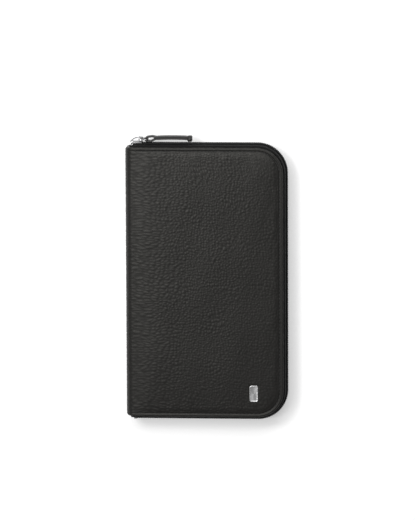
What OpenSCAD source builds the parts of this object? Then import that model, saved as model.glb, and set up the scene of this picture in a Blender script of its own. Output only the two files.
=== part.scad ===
// Zip-around travel document organizer, closed and lying on its rear cover.
// +X runs from the spine to the long zip run, +Y to the top edge, +Z through the thickness.
// The origin is the centre of the rear cover's outer face.

/* [Wallet] */
// Width from the spine to the outside of the zip
wallet_w = 133; // [131:1:140]
// Height over the top and bottom zip runs
wallet_h = 228; // [226:1:240]
// Thickness of the closed wallet
wallet_t = 25; // [24.8:0.1:28]
// Corner radius of the covers on the zip side
corner_r = 21.5; // [16:0.5:24]
// Outer radius of the leather where it turns round the spine
spine_r = 8; // [7.5:0.1:8.5]
// Corner radius at the two ends of the spine
spine_end_r = 3.5; // [3:0.5:6]
// How far the zip stands out past the edge of the covers
zip_stand = 3.5; // [3.4:0.1:4]

/* [Cover layers] */
// Thickness of the outer leather
leather_t = 1.2; // [1:0.1:1.4]
// Thickness of the stiffening board
board_t = 1; // [0.8:0.1:1.2]
// Thickness of the lining
lining_t = 0.8; // [0.6:0.1:0.8]
// Width of the leather edge turned over the board
turned_edge = 1.4; // [1:0.1:2]

/* [Zip] */
// Thickness of the zip tape
tape_t = 0.6; // [0.5:0.05:0.6]
// Width of tape sewn in between the leather and the lining
tape_sewn = 8; // [6:0.5:10]
// Thickness of the coil teeth
coil_t = 1.7; // [1.6:0.05:1.7]
// Width of the two closed rows of teeth
coil_w = 5.4; // [4.8:0.1:5.4]
// Length of the slider
slider_l = 10.5; // [10:0.1:11]
// Width of the slider
slider_w = 8.4; // [8.2:0.1:8.6]
// Length of the leather pull tab's strap
strap_l = 27; // [22:1:34]
// Thickness of the leather pull tab's strap
strap_t = 2.9; // [2.4:0.1:3]

/* [Pockets] */
// Depth of the flat pockets behind each inner panel
flat_gap = 1.8; // [1.6:0.1:1.9]
// Depth of the passport pocket
passport_gap = 4.2; // [4.1:0.05:4.3]
// Height of the passport pocket
passport_h = 117; // [105:1:125]
// Thickness of a pocket panel or wall
panel_t = 0.8; // [0.7:0.1:0.8]
// Number of card slots in each of the two groups
slots = 4; // [3:1:4]
// Step from one card slot to the next
slot_pitch = 12; // [11:0.5:12.5]
// Inner radius of the pen loop
pen_r = 4.6; // [4:0.1:4.6]
// Length of the pen loop
pen_loop_l = 22; // [15:1:30]

/* [Badge] */
// Width of the plain metal badge
badge_w = 7; // [6:0.5:9]
// Height of the plain metal badge
badge_h = 13.5; // [12:0.5:15]

/* [Hidden] */
GROUPS = 2;
$fn = 64;

LEATHER = "#302f2d";
LINING = "#55524e";
TAPE = "#1b1b1b";
METAL = "silver";
BOARD = "#a08560";

// Overshoot of cutting shapes, so that no faces coincide
over = 1;
// Free space left between two pieces that slide or turn past each other
play = 0.2;

half_w = wallet_w / 2;
half_h = wallet_h / 2;
mid_z = wallet_t / 2;
// Edges of the covers, and where their leather starts to turn round the spine
panel_x = half_w - zip_stand;
panel_y = half_h - zip_stand;
turn_x = spine_r - half_w;
// Levels in a cover, counted from its outer face
board_z = leather_t;
tape_z = board_z + board_t;
lining_z = tape_z + tape_t;
cover_t = lining_z + lining_t;
// Gap at the joints in the leather, each half a gap wide on its own side
seam = 0.2;

// The zip: how far the outer face of its tape stands out, and where its teeth begin
tape_out = zip_stand - coil_t;
zip_start = turn_x + 1;
tape_y = panel_y + tape_out;
teeth_gap = 0.05;

// Slider on the top zip run, at the closed end
slider_x = turn_x - 3.5;
slider_end = slider_x + slider_l;
plate_t = 0.9;
slider_top = half_h + play + plate_t + 0.1;
bail_w = 3;
bail_r = 12.3;
bail_t = 1;
bail_x = slider_end - 2;
bail_y = slider_top - 9.1;
ring_x = slider_end - 2.8;
ring_y = slider_top + 1.1;
ring_reach = 6.7;
ring_bar = 1.2;
ring_t = 1.1;
ring_side = slider_w / 2 + 0.3;
tab_w = 8.4;
tab_x = ring_x + ring_reach;
loop_hole_r = 0.95;
loop_r = loop_hole_r + 1.1;
loop_end_x = tab_x + 4.2;
loop_end_y = ring_y + 0.7;
strap_r = 122;
strap_mid = tab_x + 20.6;
strap_top = ring_y + 3.6;
strap_end = tab_x + 5.3 + strap_l;
end_block = 4;

// Inner pockets
pocket_left = turn_x + 8.5;
pocket_right = panel_x - 6;
pocket_y = panel_y - 5.5;
pocket_mid = (pocket_left + pocket_right) / 2;
flat_z = cover_t + flat_gap;
inner_z = flat_z + panel_t;
passport_z = inner_z + passport_gap;
thumb_r = 10;

// Small zip across the flat pocket
coin_y = pocket_y - 27;
coin_slot = 4;
coin_tape_w = 7.7;
coin_split = 0.3;
coin_coil_w = 1.7;
coin_coil_t = 1.1;
coin_left = pocket_left + 2;
coin_right = pocket_right - 2;
coin_slider_x = coin_left + 1;
coin_slider_l = 8;
coin_slider_w = 6;
coin_plate_t = 0.6;
coin_top = flat_z + coin_coil_t + play + 0.7;
coin_pull_x = coin_slider_x + 4;
coin_pull_z = coin_top + 0.55;
coin_pull_l = 13;
coin_pull_t = 0.7;

// Card slots: each strip leans away from its panel towards the mouth at its upper edge
slot_rise = 1.34;
slot_deep = 44;
slot_strip = 16;
slot_margin = 2;
group_pitch = 96;
group_start = 3 - pocket_y;

// Pen loop and the tabs that close the ends of the spine
pen_x = turn_x + 0.5;
pen_wall = 0.8;
pen_y = -49;
spine_inner = leather_t + board_t + lining_t - half_w;
tab_level = 5;

// Badge near the lower corner, held by two studs
badge_x = 39;
badge_y = -90.7;
badge_t = 0.8;
badge_r = 1.5;
stud_r = 0.9;
stud_step = 4;
backing_t = 0.5;

// ---- Shared shapes ----

// Turns a piece of the rear cover into its twin on the front cover
module for_front() {
    translate([0, 0, wallet_t]) mirror([0, 0, 1]) children();
}

// Rectangle with round corners, centred on the origin
module round_rect(w, h, r) {
    square([w - 2 * r, h], center = true);
    square([w, h - 2 * r], center = true);
    for (x = [-1, 1], y = [-1, 1]) translate([x * (w / 2 - r), y * (h / 2 - r)]) circle(r);
}

// Outline of a cover drawn in by inset, square on the spine side and round on the zip side
module cover_outline(inset, left) {
    right = panel_x - inset;
    top = panel_y - inset;
    r = corner_r - inset;
    translate([left, -top]) square([right - r - left, 2 * top]);
    translate([right - r, r - top]) square([r, 2 * (top - r)]);
    for (side = [-1, 1]) translate([right - r, side * (top - r)]) circle(r);
}

// Outline of the whole leather shell, with the round ends of the spine
module shell_outline() {
    straight = panel_y - spine_end_r;
    cover_outline(0, spine_end_r - half_w);
    translate([-half_w, -straight]) square([spine_end_r, 2 * straight]);
    for (side = [-1, 1]) translate([spine_end_r - half_w, side * straight]) circle(spine_end_r);
}

// Flat layer of a cover between two levels
module layer(inset, left, low, high) {
    translate([0, 0, low]) linear_extrude(high - low) cover_outline(inset, left);
}

// Band round the three zip sides of a cover, between two insets and two levels
module edge_band(outer, inner, left, low, high) {
    translate([0, 0, low]) linear_extrude(high - low) difference() {
        cover_outline(outer, left);
        cover_outline(inner, left - over);
    }
}

// Section of the leather across the spine, filled, drawn in by inset
module shell_section(inset) {
    r = spine_r - inset;
    translate([turn_x, inset]) square([panel_x - turn_x + over, wallet_t - 2 * inset]);
    translate([turn_x - r, spine_r]) square([r + over, wallet_t - 2 * spine_r]);
    for (z = [spine_r, wallet_t - spine_r]) translate([turn_x, z]) circle(r);
}

// The part of the bent leather sheet whose section lies inside the child shape
module leather_sheet() {
    intersection() {
        rotate([90, 0, 0]) translate([0, 0, -half_h]) linear_extrude(wallet_h) intersection() {
            difference() {
                shell_section(0);
                shell_section(leather_t);
            }
            children();
        }
        translate([0, 0, -over]) linear_extrude(wallet_t + 2 * over) shell_outline();
    }
}

// Outer leather of one cover, up to half way round the turn at the spine
module cover_leather() {
    leather_sheet() polygon([
        [turn_x + seam, spine_r],
        [turn_x + seam - 2 * spine_r, -spine_r],
        [panel_x + 2 * over, -spine_r],
        [panel_x + 2 * over, spine_r]
    ]);
    edge_band(0, turned_edge, turn_x, leather_t - 0.1, tape_z);
}

module cover_board() {
    layer(turned_edge + play, turn_x, board_z, tape_z);
}

module cover_lining() {
    layer(turned_edge + play, turn_x, lining_z, cover_t);
    layer(tape_sewn + 1, turn_x, tape_z, lining_z + 0.1);
}

module zip_tape() {
    edge_band(-tape_out, tape_sewn + 0.7, zip_start, tape_z, lining_z);
    edge_band(-tape_out, tape_t - tape_out, zip_start, tape_z + tape_t / 2, mid_z - teeth_gap);
}

module zip_teeth() {
    edge_band(-zip_stand, -tape_out, zip_start, mid_z - coil_w / 2, mid_z - teeth_gap);
}

// Upright walls of a pocket, as separate straight strips: left, right, bottom and perhaps top
module pocket_walls(top, low, high, closed) {
    inside = panel_t + 0.1;
    for (x = [pocket_left, pocket_right - panel_t])
        translate([x, -pocket_y, low]) cube([panel_t, top + pocket_y, high - low]);
    for (y = closed ? [-pocket_y, top - panel_t] : [-pocket_y])
        translate([pocket_left + inside, y, low])
            cube([pocket_right - pocket_left - 2 * inside, panel_t, high - low]);
}

module pocket_panel(bottom, top, low) {
    translate([pocket_left, bottom, low])
        cube([pocket_right - pocket_left, top - bottom, panel_t]);
}

// ---- Rear cover ----

module rear_leather() {
    color(LEATHER) cover_leather();
}

module rear_board() {
    color(BOARD) cover_board();
}

module rear_lining() {
    color(LINING) cover_lining();
}

module zip_tape_rear() {
    color(TAPE) zip_tape();
}

module zip_teeth_rear() {
    color(TAPE) zip_teeth();
}

// Metal clip across both rows of teeth at the open end of the zip
module zip_end_stop() {
    stop_l = 2.4;
    color(METAL) translate([zip_start - stop_l - 0.1, -half_h, mid_z - coil_w / 2])
        cube([stop_l, zip_stand - 0.6, coil_w]);
}

module zip_pocket_gusset() {
    color(LINING) pocket_walls(pocket_y, cover_t, flat_z, true);
}

module zip_pocket_panel() {
    color(LEATHER) pocket_panel(-pocket_y, coin_y - coin_slot, flat_z);
}

module zip_pocket_top_panel() {
    color(LEATHER) pocket_panel(coin_y + coin_slot, pocket_y, flat_z);
}

module coin_zip_tape() {
    color(TAPE) for (side = [-1, 1])
        translate([coin_left, coin_y + side * (coin_split + coin_tape_w / 2) - coin_tape_w / 2, flat_z - tape_t])
            cube([coin_right - coin_left, coin_tape_w, tape_t]);
}

module coin_zip_teeth() {
    start = coin_slider_x + 3;
    color(TAPE) for (side = [-1, 1])
        translate([start, coin_y + side * coin_coil_w / 2 - (coin_coil_w - teeth_gap) / 2, flat_z])
            cube([coin_right - 1 - start, coin_coil_w - teeth_gap, coin_coil_t]);
}

module passport_pocket_gusset() {
    color(LINING) pocket_walls(passport_h - pocket_y, inner_z, passport_z, false);
}

module passport_pocket_panel() {
    color(LEATHER) difference() {
        pocket_panel(-pocket_y, passport_h - pocket_y, passport_z);
        translate([pocket_mid, passport_h - pocket_y, passport_z - over])
            cylinder(h = panel_t + 2 * over, r = thumb_r);
    }
}

// ---- Spine ----

module spine_leather() {
    back = 2 * spine_r;
    color(LEATHER) leather_sheet() polygon([
        [turn_x - seam, spine_r],
        [turn_x - seam - back, spine_r - back],
        [turn_x - seam - back, wallet_t - spine_r + back],
        [turn_x - seam, wallet_t - spine_r]
    ]);
}

module spine_board() {
    color(BOARD) translate([leather_t - half_w, 3.5 - panel_y, spine_r])
        cube([board_t, 2 * (panel_y - 3.5), wallet_t - 2 * spine_r]);
}

module spine_lining() {
    color(LINING) translate([leather_t + board_t - half_w, 2.1 - panel_y, tab_level])
        cube([lining_t, 2 * (panel_y - 2.1), wallet_t - 2 * tab_level]);
}

module pen_loop() {
    outer = pen_r + pen_wall;
    color(LEATHER) difference() {
        union() {
            translate([pen_x, pen_y, mid_z]) rotate([90, 0, 0])
                cylinder(h = pen_loop_l, r = outer, center = true);
            translate([spine_inner, pen_y - pen_loop_l / 2, mid_z - 4]) cube([0.8, pen_loop_l, 8]);
        }
        translate([pen_x, pen_y, mid_z]) rotate([90, 0, 0])
            cylinder(h = pen_loop_l + 2 * over, r = pen_r, center = true);
    }
}

// Leather tab that closes one end of the spine, between the ends of the zip tapes
module zip_end_tab(side) {
    tab_t = 1;
    low = panel_y - 2.1;
    color(LEATHER) translate([leather_t + board_t - half_w, side > 0 ? low : -low - tab_t, tab_level])
        cube([turn_x + 0.5 - leather_t - board_t + half_w, tab_t, wallet_t - 2 * tab_level]);
}

module zip_end_tab_top() {
    zip_end_tab(1);
}

module zip_end_tab_bottom() {
    zip_end_tab(-1);
}

// ---- Front cover ----

module stud_holes(low, high) {
    for (side = [-1, 1]) translate([badge_x, badge_y + side * stud_step, low])
        cylinder(h = high - low, r = stud_r + 0.1);
}

module front_leather() {
    color(LEATHER) difference() {
        for_front() cover_leather();
        stud_holes(wallet_t - tape_z, wallet_t + over);
    }
}

module front_board() {
    color(BOARD) difference() {
        for_front() cover_board();
        stud_holes(wallet_t - cover_t, wallet_t);
    }
}

module backing_plate(grow, t) {
    translate([badge_x, badge_y, wallet_t - tape_z - t]) linear_extrude(t)
        square([5 + grow, 2 * stud_step + 4 + grow], center = true);
}

module front_lining() {
    color(LINING) difference() {
        for_front() cover_lining();
        backing_plate(0.4, tape_t);
    }
}

module zip_tape_front() {
    color(TAPE) for_front() zip_tape();
}

module zip_teeth_front() {
    color(TAPE) for_front() zip_teeth();
}

// Plain plaque with two studs that pass through the leather and the board
module badge_plaque() {
    color(METAL) {
        translate([badge_x, badge_y, wallet_t]) linear_extrude(badge_t)
            round_rect(badge_w, badge_h, badge_r);
        for (side = [-1, 1]) translate([badge_x, badge_y + side * stud_step, wallet_t - tape_z])
            cylinder(h = tape_z + badge_t / 2, r = stud_r);
    }
}

// Plate under the board that the studs are riveted to
module badge_backing() {
    color(METAL) backing_plate(0, backing_t);
}

module note_pocket_gusset() {
    color(LINING) for_front() pocket_walls(pocket_y, cover_t, flat_z, false);
}

module note_pocket_panel() {
    color(LEATHER) for_front() pocket_panel(-pocket_y, pocket_y - 4, flat_z);
}

// One strip of the card slots: the first of a group is deep, the others overlap it like tiles
module card_slot(i) {
    place = i % slots;
    deep = place == 0;
    long = deep ? slot_deep : slot_strip;
    start = deep ? 0 : slot_deep - slot_strip + place * slot_pitch;
    bottom = group_start + floor(i / slots) * group_pitch + start;
    color(LEATHER) for_front() translate([pocket_left + slot_margin, bottom, inner_z])
        rotate([asin(slot_rise / long), 0, 0])
            cube([pocket_right - pocket_left - 2 * slot_margin, long, panel_t]);
}

// ---- Slider and its pull ----

// Plate of the slider at level y, seen along Y with round corners
module slider_plate(y, t) {
    translate([slider_x + slider_l / 2, y + t, mid_z]) rotate([90, 0, 0])
        linear_extrude(t) round_rect(slider_l, slider_w, 1.2);
}

module zip_slider_body() {
    inner_y = tape_y - tape_t - play;
    flange_y = tape_y + 0.4;
    flange_t = 0.75;
    post_w = 2;
    color(METAL) {
        slider_plate(inner_y - plate_t, plate_t);
        slider_plate(half_h + play, slider_top - half_h - play);
        for (z = [mid_z - slider_w / 2, mid_z + slider_w / 2 - flange_t])
            translate([slider_x + 1.2, flange_y, z])
                cube([slider_l - 2.4, half_h + play + 0.1 - flange_y, flange_t]);
        translate([slider_x + 1.3, inner_y - 0.1, mid_z - post_w / 2])
            cube([2, half_h + play + 0.2 - inner_y, post_w]);
    }
}

// Arched bridge on the slider that the ring hangs in
module zip_slider_bail() {
    foot = 1;
    color(METAL) translate([0, 0, mid_z - bail_w / 2]) linear_extrude(bail_w) difference() {
        intersection() {
            translate([bail_x, bail_y]) circle(bail_r, $fn = 160);
            translate([slider_x, slider_top]) square([slider_l - 0.1, 5]);
        }
        intersection() {
            translate([bail_x, bail_y]) circle(bail_r - bail_t, $fn = 160);
            translate([slider_x, slider_top - over]) square([slider_l - 0.1 - foot, 5]);
        }
    }
}

module puller_ring() {
    inner_l = ring_reach - ring_bar;
    color(METAL) translate([ring_x + ring_reach / 2, ring_y + ring_t / 2, mid_z]) rotate([90, 0, 0])
        linear_extrude(ring_t) difference() {
            round_rect(inner_l + 2 * ring_bar, 2 * (ring_side + ring_bar), 1.8);
            square([inner_l, 2 * ring_side], center = true);
        }
}

// Leather strap folded round the ring's outer bar and sewn to itself
module pull_tab() {
    color(LEATHER) translate([0, 0, mid_z - tab_w / 2]) linear_extrude(tab_w) {
        difference() {
            hull() {
                translate([tab_x, ring_y]) circle(loop_r);
                translate([loop_end_x, loop_end_y]) circle(2.45);
            }
            hull() {
                translate([tab_x, ring_y]) circle(loop_hole_r);
                translate([loop_end_x, loop_end_y]) circle(1.1);
            }
        }
        intersection() {
            difference() {
                translate([strap_mid, strap_top - strap_r]) circle(strap_r, $fn = 360);
                translate([strap_mid, strap_top - strap_r]) circle(strap_r - strap_t, $fn = 360);
            }
            translate([tab_x + 5.3, ring_y - 2]) square([strap_end - tab_x - 5.3, 8]);
        }
    }
}

module pull_tab_end() {
    low = half_h + 0.35;
    color(LEATHER) translate([strap_end, low, mid_z - tab_w / 2])
        cube([end_block, strap_top - 0.7 - low, tab_w]);
}

// ---- Slider of the small zip ----

module coin_slider_body() {
    low = flat_z - tape_t - play - coin_plate_t;
    flange_t = 0.7;
    roof = coin_top - 0.7;
    color(METAL) {
        for (level = [[low, coin_plate_t], [roof, 0.7]])
            translate([coin_slider_x + coin_slider_l / 2, coin_y, level[0]])
                linear_extrude(level[1]) round_rect(coin_slider_l, coin_slider_w, 0.8);
        for (side = [-1, 1])
            translate([coin_slider_x + 0.8, coin_y + side * (coin_slider_w - flange_t) / 2 - flange_t / 2,
                flat_z + play]) cube([coin_slider_l - 1.6, flange_t, coin_coil_t + 0.1]);
        translate([coin_slider_x + 0.9, coin_y - 0.25, low + 0.1])
            cube([1.2, 0.5, roof - low]);
    }
}

module coin_slider_bail() {
    bail_l = 5;
    bail_h = 1.9;
    wall = 0.8;
    color(METAL) translate([coin_slider_x + 1.5, coin_y + 0.9, coin_top]) rotate([90, 0, 0])
        linear_extrude(1.8) difference() {
            square([bail_l, bail_h]);
            translate([wall, -over]) square([bail_l - 2 * wall, bail_h - wall + over]);
        }
}

// Flat tag that lies on the panel and lifts on the bail
module coin_pull() {
    tag_w = 5.2;
    near = 0.4;
    color(METAL) translate([coin_pull_x - near, coin_y, coin_pull_z - coin_pull_t / 2])
        linear_extrude(coin_pull_t) difference() {
            translate([(coin_pull_l + near) / 2, 0]) round_rect(coin_pull_l + near, tag_w, 0.8);
            translate([2 * near, -1.3]) square([3.2, 2.6]);
        }
}

rear_leather();
rear_board();
rear_lining();
zip_tape_rear();
zip_teeth_rear();
zip_end_stop();
zip_pocket_gusset();
zip_pocket_panel();
zip_pocket_top_panel();
coin_zip_tape();
coin_zip_teeth();
passport_pocket_gusset();
passport_pocket_panel();
spine_leather();
spine_board();
spine_lining();
pen_loop();
zip_end_tab_top();
zip_end_tab_bottom();
front_leather();
front_board();
front_lining();
zip_tape_front();
zip_teeth_front();
badge_plaque();
badge_backing();
note_pocket_gusset();
note_pocket_panel();
for (i = [1:GROUPS * slots]) card_slot(i - 1);
zip_slider_body();
zip_slider_bail();
puller_ring();
pull_tab();
pull_tab_end();
coin_slider_body();
coin_slider_bail();
coin_pull();
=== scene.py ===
"""Looks of the zip-around travel document organizer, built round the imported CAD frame.

The wallet lies closed on its rear cover: X from the spine to the zip, Y to the top edge, Z through
the thickness. Pieces are worked out in millimetres; floor, lights and camera are in metres.
"""

import math

import bpy
import numpy as np
from mathutils import Matrix, Vector


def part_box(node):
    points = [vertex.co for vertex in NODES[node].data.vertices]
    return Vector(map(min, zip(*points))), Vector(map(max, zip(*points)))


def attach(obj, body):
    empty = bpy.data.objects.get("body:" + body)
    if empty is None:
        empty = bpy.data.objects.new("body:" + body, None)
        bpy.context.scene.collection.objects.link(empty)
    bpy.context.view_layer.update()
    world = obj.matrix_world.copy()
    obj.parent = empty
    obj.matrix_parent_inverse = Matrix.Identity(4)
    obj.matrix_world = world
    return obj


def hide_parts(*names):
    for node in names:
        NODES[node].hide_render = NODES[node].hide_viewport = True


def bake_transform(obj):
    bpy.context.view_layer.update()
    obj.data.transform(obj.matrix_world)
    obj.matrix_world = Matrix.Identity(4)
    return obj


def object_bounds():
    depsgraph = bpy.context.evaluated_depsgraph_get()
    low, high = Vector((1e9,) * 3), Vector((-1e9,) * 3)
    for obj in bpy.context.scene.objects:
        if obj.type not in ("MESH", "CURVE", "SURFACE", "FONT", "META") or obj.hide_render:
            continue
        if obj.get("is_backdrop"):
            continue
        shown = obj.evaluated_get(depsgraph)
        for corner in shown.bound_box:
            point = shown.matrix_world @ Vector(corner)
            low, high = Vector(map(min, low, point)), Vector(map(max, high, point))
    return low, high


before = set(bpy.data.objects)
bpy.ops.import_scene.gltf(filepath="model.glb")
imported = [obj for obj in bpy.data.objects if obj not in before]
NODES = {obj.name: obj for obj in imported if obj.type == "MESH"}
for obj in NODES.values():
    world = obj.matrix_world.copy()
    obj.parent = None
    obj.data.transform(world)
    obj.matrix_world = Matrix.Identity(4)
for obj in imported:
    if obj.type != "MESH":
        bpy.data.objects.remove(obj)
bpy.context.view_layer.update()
MM = 0.001


# ---- Sizes taken from the frame ----


def box_mm(node):
    """Lowest and highest corner of a CAD node, in millimetres."""
    low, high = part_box(node)
    return np.array(low) / MM, np.array(high) / MM


PANEL_X, PANEL_Y, TOP_Z = box_mm("front_leather")[1]
SPINE_X = box_mm("spine_leather")[0][0]
ZIP_X = box_mm("zip_teeth_front")[1][0]
MID_Z = TOP_Z / 2
TEETH_START, TEETH_LOW = (box_mm("zip_teeth_rear")[0][i] for i in (0, 2))
LINING_Z = box_mm("rear_lining")[1][2]
# Radii of a cover's zip corners, of its turn into the spine and of the spine's two ends, and how
# far these ends are drawn in
CORNER_R = 21.5
SPINE_R = 8.0
SPINE_END_R = 2.5
SPINE_PINCH = 0.3
TURN_X = SPINE_X + SPINE_R
CORNER_X = PANEL_X - CORNER_R
CORNER_Y = PANEL_Y - CORNER_R
ZIP_STAND = ZIP_X - PANEL_X
CARD_SLOTS = sorted(n for n in NODES if n.startswith("card_slot_"))

X_AXIS = np.array([1.0, 0.0, 0.0])
Y_AXIS = np.array([0.0, 1.0, 0.0])
Z_AXIS = np.array([0.0, 0.0, 1.0])


# ---- Smooth and cellular patterns, all seeded ----

CELL_TILE = 512


def smoothstep(low, high, value):
    t = np.clip((value - low) / (high - low), 0, 1)
    return t * t * (3 - 2 * t)


def ripple(p, wavelength, seed, waves=7):
    """Smooth random field between about -1 and 1 over points p, with features near wavelength."""
    rng = np.random.default_rng(seed)
    total = np.zeros(len(p))
    for _ in range(waves):
        angle, phase = rng.uniform(0, 2 * math.pi, 2)
        k = 2 * math.pi / (wavelength * rng.uniform(0.7, 1.5))
        total += np.sin(k * (p[:, 0] * math.cos(angle) + p[:, 1] * math.sin(angle)) + phase)
    return total / math.sqrt(waves)


def cells(p, size, seed):
    """Distance to the nearest cell border of a jittered cell pattern: 0 in a crease, near 1 on a pebble."""
    rng = np.random.default_rng(seed)
    jitter = rng.uniform(0.08, 0.92, (CELL_TILE, CELL_TILE, 2))
    grid = np.floor(p / size).astype(int)
    nearest = np.full(len(p), 1e9)
    second = np.full(len(p), 1e9)
    for dx in (-1, 0, 1):
        for dy in (-1, 0, 1):
            cell = grid + (dx, dy)
            seed_point = (cell + jitter[cell[:, 0] % CELL_TILE, cell[:, 1] % CELL_TILE]) * size
            distance = np.hypot(*(p - seed_point).T)
            closer = distance < nearest
            second = np.where(closer, nearest, np.minimum(second, distance))
            nearest = np.where(closer, distance, nearest)
    return np.clip((second - nearest) / (0.55 * size), 0, 1)


# ---- Mesh helpers ----


def unit(vectors):
    return vectors / np.linalg.norm(vectors, axis=1)[:, None]


def quads(rows, cols, offset=0, rings=False, flip=False):
    """Faces of a grid of points stored row by row. With rings, each row is closed on itself."""
    r, c = np.arange(rows - 1), np.arange(cols if rings else cols - 1)
    r, c = (a.ravel() for a in np.meshgrid(r, c, indexing="ij"))
    here, above, c2 = r * cols, (r + 1) * cols, (c + 1) % cols
    faces = np.stack([here + c, here + c2, above + c2, above + c], axis=1)
    return (faces[:, ::-1] if flip else faces) + offset


def tube_faces(rows, cols, flip=False, flip_caps=False):
    """Faces of a tube of closed rings, with its first and last ring filled."""
    caps = [list(range(cols))[::-1], [(rows - 1) * cols + c for c in range(cols)]]
    caps = [cap[::-1] for cap in caps] if flip_caps else caps
    return quads(rows, cols, rings=True, flip=flip).tolist() + caps


def sheet_faces(rows, cols, flip):
    """Faces of a closed sheet: a grid of points, the same grid again under it, and the rim between."""
    rim = [(0, c) for c in range(cols)] + [(r, cols - 1) for r in range(1, rows)]
    rim += [(rows - 1, c) for c in range(cols - 2, -1, -1)] + [(r, 0) for r in range(rows - 2, 0, -1)]
    index = np.array([r * cols + c for r, c in rim])
    after = np.roll(index, -1)
    under = rows * cols
    sides = np.stack([index, index + under, after + under, after], axis=1)
    return np.concatenate([quads(rows, cols, flip=flip), quads(rows, cols, under, flip=not flip), sides])


def placed(name, data):
    """Puts a mesh, light or camera into the scene."""
    thing = bpy.data.objects.new(name, data)
    bpy.context.scene.collection.objects.link(thing)
    return thing


class Shell:
    """Collects the points and faces of one piece."""

    def __init__(self):
        self.points, self.faces, self.count = [], [], 0

    def add(self, points, faces):
        points = np.asarray(points, float).reshape(-1, 3)
        self.points.append(points)
        self.faces.extend((np.asarray(f) + self.count).tolist() for f in faces)
        self.count += len(points)

    def piece(self, name, material, body, slot, replaced=(), values=None):
        """Makes the piece, rides it on its body unless that is None, and hides the CAD nodes that
        it stands for. slot is not used. values are numbers that its material finds at each point."""
        points = np.concatenate(self.points)
        mesh = bpy.data.meshes.new(name)
        mesh.from_pydata((points * MM).tolist(), [], self.faces)
        mesh.validate()
        mesh.shade_smooth()
        rest = mesh.attributes.new("rest_mm", "FLOAT_VECTOR", "POINT")
        rest.data.foreach_set("vector", points.astype(np.float32).ravel())
        for key, value in (values or {}).items():
            attribute = mesh.attributes.new(key, "FLOAT", "POINT")
            attribute.data.foreach_set("value", np.asarray(value, np.float32))
        mesh.materials.append(material)
        piece = placed(name, mesh)
        if body:
            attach(piece, body)
        if replaced:
            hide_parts(*replaced)
        return piece


def split_sharp(piece, degrees):
    """Keeps edges that turn more than this crisp on a smoothly shaded piece."""
    modifier = piece.modifiers.new("sharp", "EDGE_SPLIT")
    modifier.split_angle = math.radians(degrees)


def sweep(path, ups, section, scale=None):
    """Points and faces of a section carried along a path, larger or smaller by scale. The section's
    first axis lies across the path and its second along ups."""
    path, section = np.asarray(path, float), np.asarray(section, float)
    tangent = unit(np.gradient(path, axis=0))
    side = unit(np.cross(tangent, np.broadcast_to(np.asarray(ups, float), path.shape)))
    up = np.cross(side, tangent)
    scale = np.ones(len(path)) if scale is None else np.asarray(scale, float)
    across = section[None, :, 0, None] * side[:, None] * scale[:, None, None]
    along = section[None, :, 1, None] * up[:, None] * scale[:, None, None]
    points = path[:, None] + across + along
    return points, tube_faces(len(path), len(section))


def round_section(width, height, radius, steps):
    """Outline of a rectangle with round corners, centred, counter-clockwise."""
    radius = min(radius, width / 2, height / 2)
    points = []
    for cx, cy, start in ((1, 1, 0), (-1, 1, 90), (-1, -1, 180), (1, -1, 270)):
        for k in range(steps + 1):
            a = math.radians(start + 90 * k / steps)
            x = cx * (width / 2 - radius) + radius * math.cos(a)
            y = cy * (height / 2 - radius) + radius * math.sin(a)
            points.append((x, y))
    return np.array(points)


def circle_section(radius, sides):
    a = np.arange(sides) * 2 * math.pi / sides
    return np.stack([radius * np.cos(a), radius * np.sin(a)], axis=1)


def curve_through(points, per_span):
    """Smooth (Catmull-Rom) curve through the given points."""
    p = np.asarray(points, float)
    p = np.concatenate([[2 * p[0] - p[1]], p, [2 * p[-1] - p[-2]]])
    t = np.linspace(0, 1, per_span, endpoint=False)[:, None]
    out = []
    for a, b, c, d in zip(p, p[1:], p[2:], p[3:]):
        quadratic, cubic = 2 * a - 5 * b + 4 * c - d, 3 * b - a - 3 * c + d
        out.append(0.5 * (2 * b + (c - a) * t + quadratic * t**2 + cubic * t**3))
    return np.concatenate(out + [p[-2:-1]])


def thread_bits(shell, centres, tangents, normals, length, radius):
    """Adds one short rounded length of sewing thread at each centre."""
    # Each length is full in the middle and thins out as it sinks into the leather at both ends
    t = np.array([-0.5, -0.42, -0.2, 0.2, 0.42, 0.5])
    fat = np.array([0.25, 0.8, 1.0, 1.0, 0.8, 0.25])
    sink = np.array([-1.2, -0.5, 0.0, 0.0, -0.5, -1.2])
    for centre, tangent, normal in zip(centres, tangents, normals):
        path = centre + t[:, None] * length * tangent + sink[:, None] * radius * normal
        shell.add(*sweep(path, normal, circle_section(radius, 6), fat))


# ---- The zip sides of a cover ----


def rim_lengths(offset, left):
    """Lengths of the five stretches of the line that runs offset outside a cover's edge."""
    turn = math.pi / 2 * (CORNER_R + offset)
    return [CORNER_X - left, turn, 2 * CORNER_Y, turn, CORNER_X - left]


def rim_at(s, offset, left):
    """Places, outward normals and tangents at distances s along that line, from the slider's end."""
    ends = np.concatenate([[0], np.cumsum(rim_lengths(offset, left))])
    radius = CORNER_R + offset
    before = [s < end for end in ends[1:5]]
    quarter = math.pi / 2
    angle = [quarter, quarter - (s - ends[1]) / radius, 0.0, -(s - ends[3]) / radius]
    angle = np.select(before, angle, -quarter)
    cos, sin, zero = np.cos(angle), np.sin(angle), np.zeros_like(s)
    turn_x, turn_y = CORNER_X + radius * cos, radius * sin
    x = [left + s, turn_x, PANEL_X + offset, turn_x]
    y = [PANEL_Y + offset, CORNER_Y + turn_y, CORNER_Y - (s - ends[2]), -CORNER_Y + turn_y]
    x = np.select(before, x, CORNER_X - (s - ends[4]))
    y = np.select(before, y, -(PANEL_Y + offset))
    places = np.stack([x, y, zero], axis=1)
    return places, np.stack([cos, sin, zero], axis=1), np.stack([sin, -cos, zero], axis=1)


# ---- Materials ----


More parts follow.
